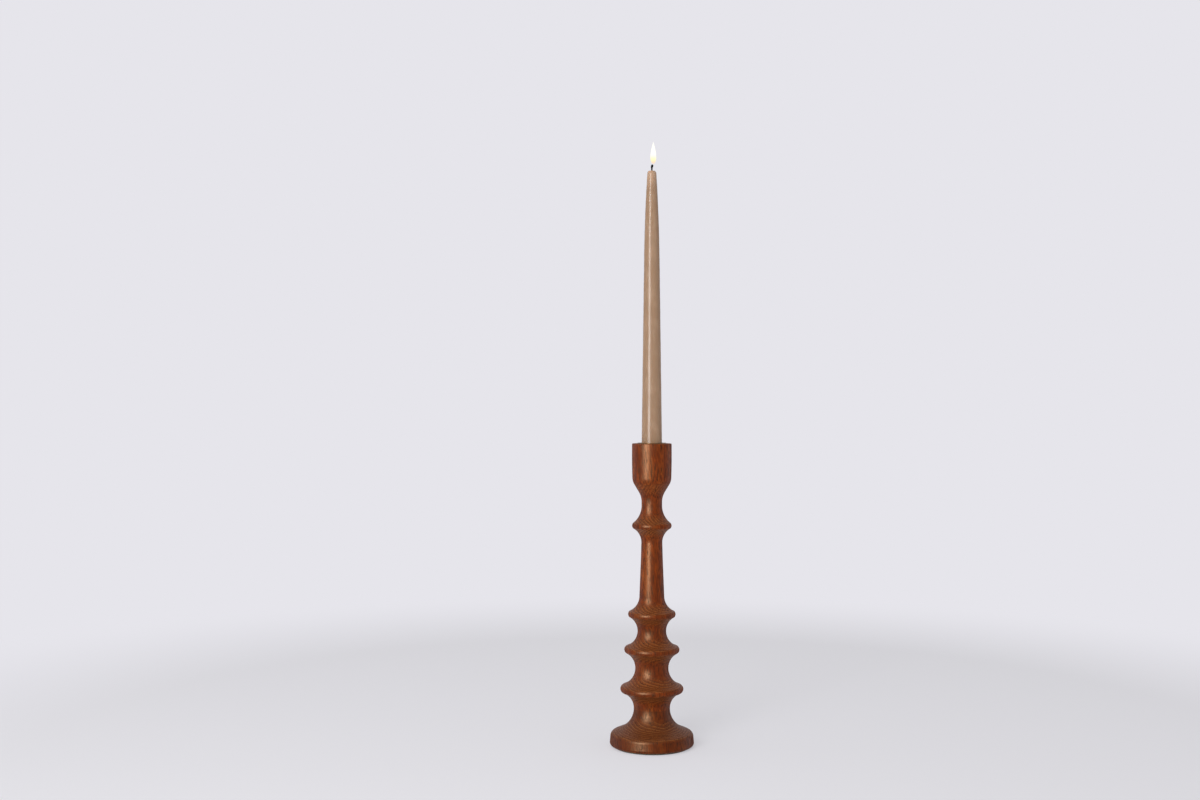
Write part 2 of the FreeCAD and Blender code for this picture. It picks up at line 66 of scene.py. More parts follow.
# Fineness of the shapes: points along a side before they are spaced, points on an eased corner,
# points round each turned shape, rows of the flame, and the smallest gap that counts as one
SIDE_POINTS = 257
CORNER_POINTS = 6
WOOD_TURNS = 160
CANDLE_TURNS = 96
WICK_TURNS = 24
WICK_STEP = 0.25 * MM
FLAME_TURNS = 48
FLAME_ROWS = 65
FLOOR_TURNS = 96
FLOOR_RADIUS = 40
SAME_PLACE = 1e-7
SHARP_EDGE = math.radians(40)

# Studio: the sensor's width in millimetres, how far the camera sees, how far out and up the
# window stands, and the point that the lamps face
SENSOR = 36
CLIP_END = 100
WINDOW_OUT = 2.2
WINDOW_UP = 0.6
LAMP_AIM = Vector((0, 0, 0.25))

# The place of the drop in a ring's radius, rounding, rise and drop
DROP = 3

# The candle: how far the edges of its hole are eased, and how many ripples cross one
HOLE_ARRIS = 0.1 * MM
CROSS_RIPPLES = 1.7

# The wick's end: strands, the knob's swelling and its middle and width in wick radii, and how
# fast it closes round and to what share
STRANDS = 3
KNOB_SWELLING = 0.6
KNOB_PLACE = 2.2
CLOSING = 1.6
CLOSED = 0.02


def linear(hex_colour):
    """The linear red, green and blue of an sRGB colour written as hex, such as "#7A3B1E"."""
    share = np.array([int(hex_colour[place:place + 2], 16) for place in (1, 3, 5)]) / 255
    curve = np.where(share <= 0.04045, share / 12.92, ((share + 0.055) / 1.055) ** 2.4)
    return tuple(curve.tolist())


def length(millimetres, description):
    """A length that is written in millimetres and kept in metres."""
    return FloatProperty(description=description, default=millimetres * MM,
                         subtype="DISTANCE", unit="LENGTH", precision=5)


def lengths(millimetres, description):
    """A row of four lengths, such as a ring's."""
    return FloatVectorProperty(description=description, size=4, unit="LENGTH", precision=5,
                               default=[part * MM for part in millimetres])


def angle(degrees, description):
    """An angle that is written in degrees and kept in radians."""
    return FloatProperty(description=description, default=math.radians(degrees),
                         subtype="ANGLE", unit="ROTATION")


def share(value, description):
    """A number from nought to one."""
    return FloatProperty(description=description, default=value, subtype="FACTOR", min=0, max=1)


def amount(value, description):
    """A plain number, such as a lamp's strength."""
    return FloatProperty(description=description, default=value, min=0)


def colour(hex_colour, description):
    """A colour that is written as sRGB hex and kept linear."""
    return FloatVectorProperty(description=description, default=linear(hex_colour),
                               subtype="COLOR", size=3, min=0, max=1)


def named(group):
    """A property group whose properties are shown under the words of their identifiers."""
    for key, setting in group.__annotations__.items():
        setting.keywords["name"] = key.replace("_", " ").capitalize()
    return group


def reach(node, side, axis):
    """How far a part of the frame reaches: side 0 is its lowest corner and side 1 its highest."""
    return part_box(node)[side][axis]


@named
class TurningSizes(PropertyGroup):
    """Sizes of the four turned sections. Their ends are where the solid model has them."""
    arris: length(0.45, "How far from a corner the sanded edge starts")
    joint_arris: length(0.12, "The same where two sections meet flush")
    point_spacing: length(0.5, "Distance between the points of an outline")

    foot_radius: length(reach("foot", 1, 0) / MM, "Widest radius of the foot")
    foot_edge_round: length(3.1, "Rounding between the foot's flat and its wall")
    foot_wall_draft: length(0.65, "How far the wall leans in at its top")
    foot_shoulder_round: length(5.4, "Rounding above the wall")
    foot_top_slope: angle(22.7, "Slope of the foot's top")
    foot_cove_round: length(23.65, "Radius of the hollow up to the neck")
    neck_radius: length(19.7, "Radius where the column stands on the foot")
    recess_radius: length(32.5, "Radius of the hollow under the foot")
    recess_depth: length(10.8, "Depth of the hollow under the foot")
    mortise_room: length(1, "Space below the end of the tenon")
    screw_hole_radius: length(2.8, "Radius of the hole through the foot")

    tenon_radius: length(11, "Radius of the column's tenon")
    tenon_chamfer: length(1, "Chamfer round the tenon's end")
    glue_clearance: length(0.05, "Space round a glued tenon or dowel")
    screw_bore_radius: length(2.55, "Radius of the screw's hole in the column")
    screw_room: length(1, "Space beyond the screw's point")
    lower_ring_height: length(21.2, "From the foot's neck to the lower ring")
    lower_ring: lengths((34.4, 4.2, 3.7, 3.5), "Radius, rounding, rise and drop: lower ring")
    lower_waist_height: length(43.8, "From the foot's neck to the waist")
    lower_waist_radius: length(18.13, "Radius of the lower waist")
    middle_ring_height: length(64, "From the foot's neck to the ring")
    middle_ring: lengths((30.13, 4.2, 3.4, 3.2), "Radius, rounding, rise and drop: middle ring")
    upper_waist_height: length(84.25, "From the foot's neck to the waist")
    upper_waist_radius: length(15.59, "Radius of the upper waist")
    column_dowel_depth: length(21, "Depth of the lower dowel's holes")

    upper_ring: lengths((25.89, 4.4, 3, 2.8), "Radius, rounding, rise and drop: upper ring")
    stem_foot_height: length(22.6, "Where the stem's taper starts")
    stem_foot_radius: length(13.55, "Radius of the taper's lower end")
    stem_head_height: length(63, "Where the stem's taper ends")
    stem_head_radius: length(11.96, "Radius of the taper's upper end")
    stem_neck_radius: length(11.45, "Radius where the flare starts")
    stem_flare_rise: length(15.4, "Height of the flare below the cup")
    stem_dowel_depth: length(19, "Depth of the upper dowel's holes")

    top_ring: lengths((21.55, 4.4, 3, 2.8), "Radius, rounding, rise and drop: ring under the cup")
    cup_neck_height: length(24.6, "Where the cup's neck starts")
    cup_neck_length: length(4.2, "Length of the straight neck")
    cup_neck_radius: length(11.22, "Radius of the neck")
    cup_flare_round: length(20.9, "Radius of the hollow above the neck")
    cup_flare_angle: angle(31, "How far the flare leans from upright")
    cup_shoulder_round: length(15.2, "Radius of the swelling above it")
    cup_shoulder_radius: length(21.28, "Radius where the wall starts")
    cup_belly_height: length(80.5, "Where the wall is widest")
    rim_radius: length(21.6, "Radius of the cup's rim")
    rim_round: length(0.8, "Rounding of the rim's outer edge")
    socket_radius: length(12.15, "Radius of the hole for the brass liner")
    socket_depth: length(25.6, "Depth of the hole for the brass liner")
    pin_hole_radius: length(2.05, "Radius of the hole for the pin's shank")
    pin_hole_depth: length(44, "From the rim to the end of that hole")


@named
class CandleSizes(PropertyGroup):
    """Sizes of the taper candle, its wick and its flame."""
    point_spacing: length(0.8, "Distance between the points of an outline")
    arris: length(0.6, "How far from a corner the melted edge starts")
    foot_chamfer: length(1.5, "Chamfer round the candle's foot")
    foot_length: length(27, "Length of the straight foot in the socket")
    waist_height: length(225, "Where the straight taper ends")
    waist_radius: length(8.52, "Radius there")
    curve_height: length(205, "Level of the centre of the curve above it")
    shoulder_height: length(319.2, "Where the tip's rounding starts")
    shoulder_radius: length(5.03, "Radius there")
    lip_radius: length(3.6, "Radius of the melt pool's lip")
    pool_depth: length(0.9, "Depth of the melt pool")
    pool_radius: length(1.7, "Radius of the melt pool's floor")
    pin_hole_radius: length(2.95, "Radius of the hole that the pin made")
    pin_hole_depth: length(18.35, "Depth of the hole that the pin made")
    pin_tip_radius: length(0.7, "Radius of that hole's end")
    collar_hole_radius: length(3.95, "Radius of the space round the collar")
    collar_hole_depth: length(1.55, "Depth of the space round the collar")
    ripple: length(0.06, "How far the dipped wax swells and sinks")
    ripple_length: length(31, "Distance from one swelling to the next")

    wick_radius: length(0.85, "Radius of the braided wick")
    wick_bend_radius: length(4.5, "Radius of the burnt wick's bend")
    wick_bend_angle: angle(45, "How far the burnt wick leans over")
    strand_depth: length(0.16, "Depth of the grooves between strands")
    strand_pitch: length(4.6, "Length of one whole turn of a strand")

    flame_widest_share: share(0.31, "Where up the flame is widest")


@named
class WoodFinish(PropertyGroup):
    """Oiled teak: colours of the grain and real spacings of its rings and pores."""
    heartwood: colour("#7A320A", "Main colour of the oiled wood")
    red_streak: colour("#511903", "Darker red streaks along the grain")
    gold_streak: colour("#8A4514", "Lighter golden streaks along the grain")
    latewood: colour("#451604", "Dense dark edge of each growth ring")
    end_grain: colour("#7C421A", "Cut ends of the fibres, where oil dulls them")
    pale_line: colour("#A46C3E", "Pale line that ends each growth ring")
    pore: colour("#280C02", "Open pores filled with dark oil")
    ring_width: length(2.5, "Distance between growth rings")
    fibre_wander: length(3.2, "How far the fibres wander from straight lines")
    wander_reach: length(14, "Distance across the trunk from one wander to the next")
    pith_right: length(3, "How far right of the axis the tree's heart lay")
    pith_front: length(5, "How far in front of the axis it lay")
    pith_lean: angle(1.6, "How far the tree's heart leant to the right")
    grain_lean: angle(9, "How far the streaks lean from upright")
    pore_width: length(1.0, "Width of a pore, drawn coarser than the real 0.2 mm")
    pore_length: length(11, "Length of a pore along the grain")
    pore_depth: length(0.06, "Depth of a pore and of the rings' ridges")
    streak_width: length(9, "Width of the broad colour streaks")
    mottle_width: length(4.2, "Width of the short slanting streaks")
    mottle_lean: angle(28, "How far the short streaks lean from upright")
    line_width: length(1.4, "Width of the fine dark lines along the grain")
    patch_width: length(55, "Size of the large darker patches")
    smear_width: length(9, "Size of the duller smears in the oil")
    # Scales the foot's main wood colours, which draws the foot darker than the other sections
    foot_shade: share(0.68, "Brightness of the foot's board beside the others")
    oil: colour("#FFD1A2", "Amber tint of the oil's sheen")
    sheen: share(0.34, "Roughness of the oiled wood along the grain")
    end_sheen: share(0.5, "Roughness where the cut crosses the grain")
    glance: share(0.4, "Roughness that the sanded fibres add at a glancing view")


@named
class CandleFinish(PropertyGroup):
    """Colours of the wax, the wick and the flame."""
    wax: colour("#997C63", "Dyed wax")
    wax_bloom: colour("#A98C73", "Pale bloom on the wax")
    # Painted glow: a lighter wax colour laid on near the top in place of the flame's light
    wax_glow: colour("#CDAB92", "Wax lit through by the flame")
    char: colour("#060504", "Burnt cotton")
    cotton: colour("#CDBDA0", "Waxed cotton that hasn't burnt")
    ember: colour("#FF6A1C", "Glowing end of the wick")
    ash: colour("#2A211B", "Grey ash on the burnt cotton")
    bloom_width: length(6, "Size of the patches of bloom")
    speck_width: length(0.8, "Size of the specks in the rubbed wax")
    glow_reach: length(24, "How far down the flame shines through the wax")
    ash_width: length(0.5, "Size of the flakes of ash")
    flame_base: colour("#FBD3AE", "Peach light round the wick")
    flame_body: colour("#FFF3C0", "Pale yellow lower half")
    flame_core: colour("#FFFDF0", "Nearly white upper half")


@named
class HardwareFinish(PropertyGroup):
    """Colours of the small parts: liner, pin, screw, washer, weight, dowels and felt."""
    brass: colour("#9A7C55", "Spun brass")
    tarnish: colour("#5C4029", "Brown film on the aged brass")
    bright_steel: colour("#C4C2BE", "Turned steel of the pin")
    zinc: colour("#C3C7CC", "Zinc plating")
    mill_steel: colour("#57534F", "Sawn and oiled steel weight")
    birch: colour("#D9BC8E", "Birch dowel")
    felt: colour("#23402C", "Green wool felt")
    felt_fibre: colour("#3F6247", "Lighter fibres of the felt")
    tool_mark: length(0.25, "Distance between the marks on the spun brass")
    tarnish_width: length(5, "Size of the patches of tarnish")
    turning_mark: length(0.3, "Distance between the marks on the turned steel")
    plating_mark: length(0.4, "Distance between the marks under the zinc")
    saw_mark: length(0.6, "Distance between the marks on the sawn steel")
    stain_width: length(7, "Size of the darker stains on steel")
    birch_fibre: length(0.5, "Width of the birch's fibres, drawn coarser than real")
    felt_nap: length(0.6, "Size of the tangles in the felt")


@named
class StudioSettings(PropertyGroup):
    """Camera, lamps, floor and backdrop."""
    camera_distance: length(1542.9, "From the stand's axis to the lens")
    camera_height: length(377.4, "Height of the lens over the table")
    camera_turn: angle(2.102, "How far the camera looks past the stand")
    focal_length: length(42.37, "On a sensor 36 mm wide")
    backdrop: colour("#E6E5EB", "Plain pale backdrop")
    floor: colour("#F6F5F9", "Plain pale floor")
    floor_lit: length(200, "How far out the floor is lit by the lamps alone")
    floor_gone: length(1200, "Where the floor has faded into the backdrop")
    floor_lift: share(0.5, "Share of the backdrop that the camera sees in the floor")
    ambient: amount(0.34, "Strength of the light from all round")
    key_side: angle(33, "How far left of the camera the tall lamp stands")
    key_power: amount(11, "Watts of the window on the left")
    strip_power: amount(148, "Watts of the strip in it that only draws highlights")
    front_power: amount(37, "Watts of the broad lamp over the camera")
    top_power: amount(7, "Watts of the lamp overhead")
    fill_power: amount(1, "Watts of the lamp on the right")


def side_points(first, last):
    """Points along one side of an outline, from a corner to the next.

    A side is straight, or, where the next corner has a third value, an arc whose centre lies at
    that level, where the chord's perpendicular bisector crosses it. The points divide the
    length or the angle evenly.
    """
    ends = np.array([first[:2], last[:2]])
    steps = np.linspace(0, 1, SIDE_POINTS)[:, None]
    if len(last) == 2:
        return ends[0] + (ends[1] - ends[0]) * steps
    level = last[2]
    squares = ends[:, 0] ** 2 + (ends[:, 1] - level) ** 2
    centre = np.array([(squares[1] - squares[0]) / (2 * (ends[1, 0] - ends[0, 0])), level])
    arms = ends - centre
    start, finish = np.arctan2(arms[:, 1], arms[:, 0])
    sweep = (finish - start + math.pi) % (2 * math.pi) - math.pi
    angles = start + sweep * steps
    return centre + np.hypot(*arms[0]) * np.hstack([np.cos(angles), np.sin(angles)])


def outline(corners, arrises, spacing):
    """Points (radius, height) round an outline, evenly spaced, with its corners eased.

    Each corner is replaced by the parabola that leaves the side before it and joins the side
    after it at the arris's distance from the corner. An outline that starts on the axis ends
    there too, and any other is closed.
    """
    closed = corners[0][0] > 0
    following = corners[1:] + corners[:1] if closed else corners[1:]
    parts = []
    for number, (first, last) in enumerate(zip(corners, following)):
        points = side_points(first, last)
        along = np.concatenate([[0], np.cumsum(np.hypot(*np.diff(points, axis=0).T))])
        whole = along[-1]
        after = (number + 1) % len(arrises)
        start = min(arrises[number], whole / 3)
        end = whole - min(arrises[after], whole / 3)
        places = np.linspace(start, end, max(2, math.ceil((end - start) / spacing) + 1))
        parts.append(np.column_stack([np.interp(places, along, row) for row in points.T]))
    eased = []
    for number, part in enumerate(parts):
        eased.append(part)
        if number + 1 == len(parts) and not closed:
            break
        corner = np.array(following[number][:2])
        share_along = np.linspace(0, 1, CORNER_POINTS)[1:-1, None]
        before = part[-1]
        after = parts[(number + 1) % len(parts)][0]
        eased.append((1 - share_along) ** 2 * before + share_along ** 2 * after
                     + 2 * share_along * (1 - share_along) * corner)
    points = np.concatenate(eased)
    keep = np.hypot(*(points - np.roll(points, 1, axis=0)).T) > SAME_PLACE
    return points[keep]


def add_object(name, data):
    """A mesh, a lamp or a camera put in the scene."""
    holder = bpy.data.objects.new(name, data)
    bpy.context.scene.collection.objects.link(holder)
    return holder


def add_piece(name, shape, body, node, material):
    """A smooth piece from points and faces, which rides on a body and stands for a part."""
    points, faces = shape
    mesh = bpy.data.meshes.new(name)
    mesh.from_pydata(points, [], faces)
    mesh.validate()
    mesh.shade_smooth()
    mesh.set_sharp_from_angle(angle=SHARP_EDGE)
    mesh.materials.append(material)
    piece = add_object(name, mesh)
    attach(piece, body)
    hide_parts(node)


def grid_faces(rows, columns, closed_rows):
    """Four-cornered faces of a grid whose columns close on themselves.

    The face at row i and column j joins the points (i, j), (i, j + 1), (i + 1, j + 1) and
    (i + 1, j). Where the rows are closed too, the last row joins the first.
    """
    row = np.arange(rows if closed_rows else rows - 1)[:, None]
    column = np.arange(columns)[None, :]
    across = (column + 1) % columns
    up = (row + 1) % rows
    faces = np.stack([row * columns + column, row * columns + across,
                      up * columns + across, up * columns + column], axis=-1)
    return faces.reshape(-1, 4).tolist()


def close_ends(points, faces, rows, columns, low, high):
    """One point in the middle of the first row and one in that of the last, joined to them."""
    column = np.arange(columns)
    across = (column + 1) % columns
    last = (rows - 1) * columns
    below = np.full(columns, len(points))
    above = below + 1
    faces += np.column_stack([below, across, column]).tolist()
    faces += np.column_stack([above, last + column, last + across]).tolist()
    return np.vstack([points, low, high])


def lathe(profile, turns, swell=None):
    """Points and faces of a profile (radius, height) carried round Z.

    Each point is (r cos a, r sin a, z), with the angle a divided evenly. A swell is a function
    of height and angle that is added to the radius. A profile that starts on the axis has one
    point at each of its ends, and any other closes on itself.
    """
    closed = profile[0, 0] > SAME_PLACE
    rows = profile if closed else profile[1:-1]
    angles = np.linspace(0, 2 * math.pi, turns, endpoint=False)[None, :]
    radius = rows[:, :1] + (swell(rows[:, 1:], angles) if swell else 0)
    height = np.broadcast_to(rows[:, 1:], (len(rows), turns))
    points = np.stack([radius * np.cos(angles), radius * np.sin(angles), height], axis=-1)
    points = points.reshape(-1, 3)
    faces = grid_faces(len(rows), turns, closed)
    if not closed:
        low, high = ([0, 0, profile[end, 1]] for end in (0, -1))
        points = close_ends(points, faces, len(rows), turns, low, high)
    return points, faces


def bead(sizes, ring, level, cove_level):
    """The two corners of a ring's rounded edge: the one below it ends the cove's arc.

    Each lies on the edge's circle, a drop below or a rise above its middle.
    """
    widest, rounding, rise, drop = getattr(sizes, f"{ring}_ring")
    low, high = (widest - rounding + math.sqrt(rounding ** 2 - part ** 2) for part in (drop, rise))
    return [(low, level - drop, cove_level), (high, level + rise, level)]


def hole(radius, mouth, end):
    """The three corners of a round hole on the axis, from its mouth to its flat end."""
    return [(radius, mouth), (radius, end), (0, end)]


def turn_section(name, corners, flush, board="oiled teak", shade=1.0):
    """One turned wooden section, from its corners above its own lower end.

    flush numbers the corners that meet another section, where the edge stays crisp; board names
    the section's material, and shade scales its main wood colours.
    """
    sizes = bpy.context.scene.candle_stand_turning
    arrises = [sizes.joint_arris if number in flush else sizes.arris
               for number in range(len(corners))]
    if corners[0][0] == 0:
        arrises[0] = arrises[-1] = 0
    profile = outline(corners, arrises, sizes.point_spacing)
    profile[:, 1] += reach(name, 0, 2)
    add_piece(f"turned_{name}", lathe(profile, WOOD_TURNS), "stand", name,
              make_material(board, oiled_teak, shade))


SMOOTH = {"interpolation_type": "SMOOTHSTEP"}
TINT = {"data_type": "RGBA"}
FACTOR, FIRST, SECOND, MIXED = 0, 6, 7, 2


def add_node(tree, kind, inputs=(), out=0, **settings):
    """A new shader node's output, its first or another, after its settings and links are made.

    The inputs are listed in the node's own order, or keyed by name or number. Each is a value
    or the socket that feeds it, and a colour is red, green and blue.
    """
    node = tree.nodes.new(f"ShaderNode{kind}")
    for name, value in settings.items():
        setattr(node, name, value)
    for place, value in (inputs.items() if isinstance(inputs, dict) else enumerate(inputs)):
        socket = node.inputs[place]
        if isinstance(value, bpy.types.NodeSocket):
            tree.links.new(value, socket)
        else:
            socket.default_value = (*value, 1) if socket.type == "RGBA" else value
    return node.outputs[out] if node.outputs else None


def make_material(name, build, *values):
    """The material of a name, made once: build adds its nodes and gives its surface."""
    material = bpy.data.materials.get(name)
    if material is None:
        material = bpy.data.materials.new(name)
        material.use_nodes = True
        material.node_tree.nodes.clear()
        add = partial(add_node, material.node_tree)
        add("OutputMaterial", {"Surface": build(add, *values)})
    return material


def in_widths(add, width, stretch=(1, 1, 1), lean=0.0):
    """A point of the piece, leant over, counted in a pattern's real width times its stretch."""
    place = add("TexCoord", out="Object")
    if lean:
        place = add("Mapping", {"Vector": place, "Rotation": (lean / 2, lean, 0)})
    return add("Mapping", {"Vector": place, "Scale": tuple(1 / width / part for part in stretch)})


def lay_over(add, base, tint, pattern, low, high, most, least=0):
    """A base colour under a tint that covers least where a pattern is low, most where high."""
    cover = add("MapRange", [pattern, low, high, least, most], **SMOOTH)
    return add("Mix", {FACTOR: cover, FIRST: base, SECOND: tint}, MIXED, **TINT)


def seen_straight(add):
    """One for what the camera, a reflection or a glass sees, and nought for light that lands."""
    rays = add("LightPath").node.outputs
    seen = add("Math", [rays["Is Camera Ray"], rays["Is Glossy Ray"]], operation="MAXIMUM")
    return add("Math", [seen, rays["Is Transmission Ray"]], operation="MAXIMUM")


def oiled_teak(add, shade):
    """Teak turned on a lathe, sanded fine and oiled, with its main colours scaled by shade.

    To the eye: a warm brown with darker red and lighter golden streaks along the grain, dark
    growth rings a few millimetres apart and open pores. Where the cut crosses the grain it is
    duller, with the rings' lines, and the oil gives it a warm satin sheen.
    """
    finish = bpy.context.scene.candle_stand_wood

    # Places in millimetres that wander a little, far more slowly along the trunk than across it
    wander = add("TexNoise", {
        "Vector": in_widths(add, finish.wander_reach, (1, 1, 5)), "Scale": 1, "Detail": 2,
    }, "Color")
    wander = add("VectorMath", [wander, (0.5, 0.5, 0.5)], operation="SUBTRACT")
    aside = (finish.fibre_wander / MM,) * 3
    fibre = add("VectorMath", [wander, aside, in_widths(add, MM)], operation="MULTIPLY_ADD")

    # Growth rings: the distance to the tree's heart, a leaning line, in ring widths
    heart = (finish.pith_right / MM, -finish.pith_front / MM, 0)
    lean = (math.sin(finish.pith_lean), 0, math.cos(finish.pith_lean))
    arm = add("VectorMath", [fibre, heart], operation="SUBTRACT")
    across = add("VectorMath", [arm, lean], operation="CROSS_PRODUCT")
    distance = add("VectorMath", [across], "Value", operation="LENGTH")
    rings = add("Math", [distance, finish.ring_width / MM], operation="DIVIDE")
    phase = add("Math", [rings], operation="FRACT")
    darkening = add("MapRange", [phase, 0.3, 0.85, 0, 1], **SMOOTH)
    ending = add("MapRange", [phase, 1.0, 0.9, 0, 1], **SMOOTH)
    dark_edge = add("Math", [darkening, ending], operation="MULTIPLY")
    from_edge = add("Math", [phase, 0.5], operation="SUBTRACT")
    from_edge = add("Math", [from_edge], operation="ABSOLUTE")
    pale_edge = add("MapRange", [from_edge, 0.3, 0.5, 0, 1], **SMOOTH)

    # Where the cut crosses the fibres, seen by how far the surface faces up or down
    upward = add("SeparateXYZ", [add("TexCoord", out="Normal")], "Z")
    upward = add("Math", [upward], operation="ABSOLUTE")
    cross_cut = add("MapRange", [upward, 0.3, 0.8, 0, 1], **SMOOTH)

    # Colour along the trunk: broad streaks, slanting mottle, thin lines and large patches, each
    # with its width, how much longer it is than wide, the noise that shows it, and its colour
    # The main colours are scaled by shade, which draws the foot darker than the other sections
    base, red_streak, gold_streak, end_grain = (
        tuple(part * shade for part in tint)
        for tint in (finish.heartwood, finish.red_streak, finish.gold_streak, finish.end_grain))
    for width, longer, slant, detail, low, high, strength, tint in (
        (finish.streak_width, 5, finish.grain_lean, 3, 0.48, 0.66, 0.55, gold_streak),
        (finish.streak_width, 5, finish.grain_lean, 3, 0.5, 0.34, 0.45, red_streak),
        (finish.mottle_width, 2.2, finish.mottle_lean, 3, 0.5, 0.34, 0.42, red_streak),
        (finish.line_width, 14, finish.grain_lean, 2, 0.44, 0.64, 0.85, red_streak),
        (finish.patch_width, 1.6, 0, 1, 0.52, 0.4, 0.3, red_streak),
    ):
        streaks = add("TexNoise", {
            "Vector": in_widths(add, width, (1, 1, longer), slant), "Scale": 1, "Detail": detail})
        base = lay_over(add, base, tint, streaks, low, high, strength)

    # Pores: long thin hollows along the trunk, cut to specks where the cut crosses them
    longer = finish.pore_length / finish.pore_width
    pores = add("TexNoise", {
        "Vector": in_widths(add, finish.pore_width, (1, 1, longer)), "Scale": 1, "Detail": 1})
    pores = add("MapRange", [pores, 0.55, 0.66, 0, 1], **SMOOTH)

    # Cut ends are duller, with the dark line and the pale line of each growth ring, and over
    # all lie the pores, each with the share of its colour that shows
    lines = add("MapRange", [cross_cut, 0.0, 0.8, 0.25, 0.8], **SMOOTH)
    pale_end = add("Math", [pale_edge, cross_cut], operation="MULTIPLY")
    for pattern, strength, tint in (
        (cross_cut, 0.7, end_grain),
        (dark_edge, lines, finish.latewood),
        (pale_end, 0.4, finish.pale_line),
        (pores, 0.8, finish.pore),
    ):
        cover = add("Math", [pattern, strength], operation="MULTIPLY")
        base = add("Mix", {FACTOR: cover, FIRST: base, SECOND: tint}, MIXED, **TINT)

    # Satin oil, duller on the cut ends, in the pores and where a cloth smeared it
    roughness = add("MapRange", [cross_cut, 0, 1, finish.sheen, finish.end_sheen])
    smears = add("TexNoise", {
        "Vector": in_widths(add, finish.smear_width), "Scale": 1, "Detail": 3})
    smears = add("MapRange", [smears, 0.3, 0.7, -0.04, 0.06])
    roughness = add("Math", [roughness, smears], operation="ADD")
    roughness = add("Math", [pores, 0.2, roughness], operation="MULTIPLY_ADD")
    glancing = add("LayerWeight", {"Blend": 0.5}, "Facing")
    most = add("MapRange", [cross_cut, 0, 1, finish.glance, 0])
    scattered = add("MapRange", [glancing, 0.35, 0.9, 0, most], **SMOOTH)
    roughness = add("Math", [roughness, scattered], operation="ADD")
    height = add("Math", [dark_edge, 0.3], operation="MULTIPLY")
    height = add("Math", [height, pores], operation="SUBTRACT")
    relief = add("Bump", {"Height": height, "Strength": 0.45, "Distance": finish.pore_depth})
    return add("BsdfPrincipled", {
        "Base Color": base, "Roughness": roughness, "Normal": relief, "IOR": 1.5,
        "Specular IOR Level": 0.3, "Specular Tint": finish.oil})


def dyed_wax(add):
    """Paraffin wax dyed taupe, dipped in many thin coats and rubbed smooth.

    To the eye: a dull soft colour that light enters a little, a broad sheen, a faint bloom in
    patches, and a painted warm glow near the top that stands in for the flame shining through.
    """
    finish = bpy.context.scene.candle_stand_candle_finish
    bloom = add("TexNoise", {
        "Vector": in_widths(add, finish.bloom_width, (1, 1, 3)), "Scale": 1, "Detail": 4,
        "Roughness": 0.6})
    base = lay_over(add, finish.wax, finish.wax_bloom, bloom, 0.45, 0.75, 0.7)
    top = reach("candle_body", 1, 2)
    height = add("SeparateXYZ", [add("TexCoord", out="Object")], "Z")
    # Painted glow: the wax turns to the lighter glow colour over the top glow reach, in place of
    # the flame's light shining through it
    base = lay_over(add, base, finish.wax_glow, height, top - finish.glow_reach, top, 0.4)
    specks = add("TexNoise", {
        "Vector": in_widths(add, finish.speck_width), "Scale": 1, "Detail": 2})
    roughness = add("MapRange", [bloom, 0.3, 0.7, 0.13, 0.22])
    rubbed = add("MapRange", [specks, 0.4, 0.7, 0, 0.1])
    roughness = add("Math", [roughness, rubbed], operation="ADD")
    relief = add("Bump", {"Height": specks, "Strength": 0.25, "Distance": 0.08 * MM})
    return add("BsdfPrincipled", {
        "Base Color": base, "Roughness": roughness, "Normal": relief, "IOR": 1.44,
        "Subsurface Weight": 0.25, "Subsurface Radius": (1.0, 0.6, 0.4),
        "Subsurface Scale": 2.2 * MM, "Specular IOR Level": 0.15})


def burnt_cotton(add):
    """Braided cotton: pale and waxy in the candle, charred black above, glowing at its end."""
    finish = bpy.context.scene.candle_stand_candle_finish
    height = add("SeparateXYZ", [add("TexCoord", out="Object")], "Z")
    wax_top = reach("candle_body", 1, 2)
    tip = reach("candle_wick", 1, 2)
    base = lay_over(
        add, finish.cotton, finish.char, height, wax_top - 2.0 * MM, wax_top + 0.6 * MM, 1)
    ash = add("TexNoise", {"Vector": in_widths(add, finish.ash_width), "Scale": 1, "Detail": 3})
    base = lay_over(add, base, finish.ash, ash, 0.55, 0.8, 0.25)
    end = add("MapRange", [height, tip - 0.7 * MM, tip - 0.1 * MM, 0, 0.8], **SMOOTH)
    sparks = add("MapRange", [ash, 0.35, 0.6, 0, 1], **SMOOTH)
    glowing = add("Math", [end, sparks], operation="MULTIPLY")
    relief = add("Bump", {"Height": ash, "Strength": 0.6, "Distance": 0.1 * MM})
    return add("BsdfPrincipled", {
        "Base Color": base, "Roughness": 0.85, "Normal": relief, "IOR": 1.5,
        "Specular IOR Level": 0.0, "Emission Color": finish.ember, "Emission Strength": glowing})


def candle_light(add):
    """The burning vapour: peach and clear round the wick, pale yellow above, then nearly white."""
    finish = bpy.context.scene.candle_stand_candle_finish
    height = add("SeparateXYZ", [add("TexCoord", out="Object")], "Z")
    foot, tip = (reach("candle_flame", side, 2) for side in (0, 1))
    up = add("MapRange", [height, foot, tip, 0, 1])
    tint = lay_over(add, finish.flame_base, finish.flame_body, up, 0.0, 0.2, 1)
    tint = lay_over(add, tint, finish.flame_core, up, 0.15, 0.42, 1)
    light = add("Emission", {"Color": tint, "Strength": 1.15})
    clear = add("BsdfTransparent")
    solid = add("MapRange", [up, 0.0, 0.25, 0.4, 1.0], **SMOOTH)
    return add("MixShader", [solid, clear, light])


